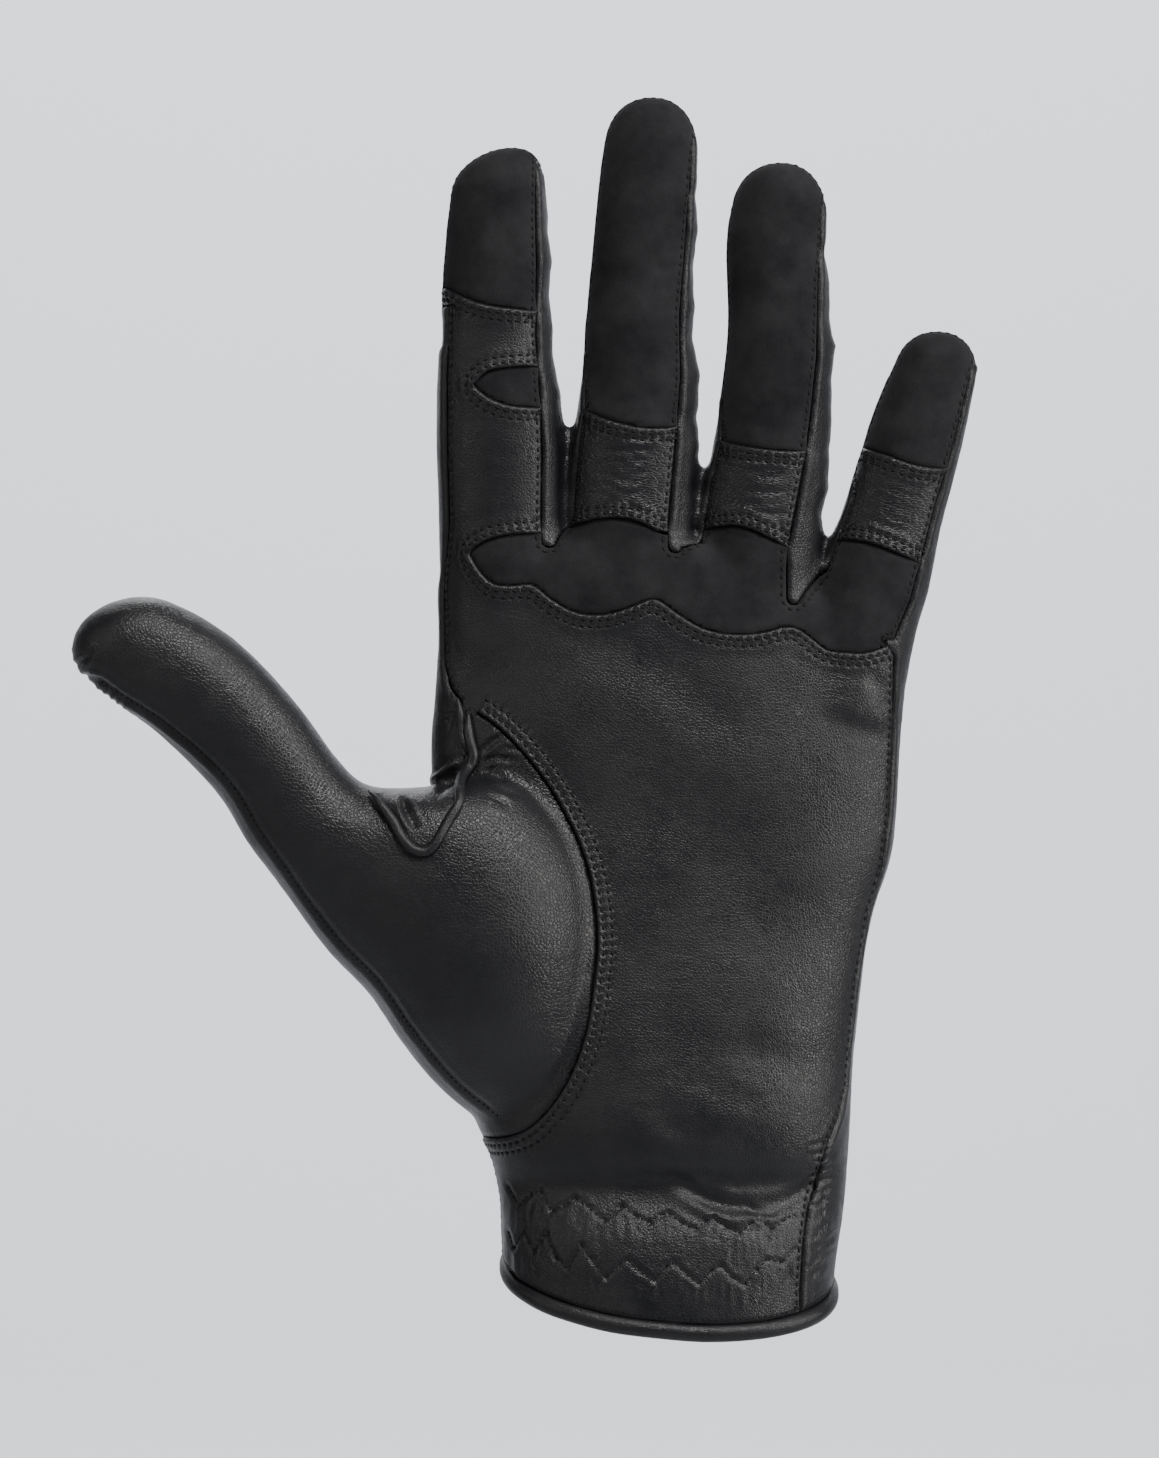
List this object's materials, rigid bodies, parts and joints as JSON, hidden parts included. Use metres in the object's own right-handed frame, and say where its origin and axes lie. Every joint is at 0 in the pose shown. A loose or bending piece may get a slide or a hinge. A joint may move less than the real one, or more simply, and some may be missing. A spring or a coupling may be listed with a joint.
{
  "type": "riding glove",
  "caption": "Worn black leather glove for the left hand, with suede grip patches, finger gussets, a set-in thumb and a gathered, bound wrist",
  "frame": {"origin": "centre of the wrist opening, where the glove is held up by the wrist in it", "axes": "+Z from the wrist to the fingertips, -Y is the palm side, -X is the thumb's side"},
  "size_m": [0.1547, 0.0458, 0.2127],
  "materials": {
    "leather": "soft satin, fine pebble grain",
    "suede": "matt suede nap",
    "rolled_trim": "smooth rolled leather, satin"
  },
  "bodies": {
    "root": {"index_tip_patch": "suede", "middle_tip_patch": "suede", "ring_tip_patch": "suede", "little_tip_patch": "suede", "index_joint_patch": "suede", "knuckle_grip_patch": "suede", "palm_panel": "leather", "back_panel": "leather", "thumb_panel": "leather", "thumb_web_gusset": "leather", "gusset_index_middle": "leather", "gusset_middle_ring": "leather", "gusset_ring_little": "leather", "middle_finger_band": "leather", "ring_finger_band": "leather", "little_finger_band": "leather", "wrist_binding": "rolled_trim", "thumb_web_piping": "rolled_trim"}
  },
  "joints": []
}
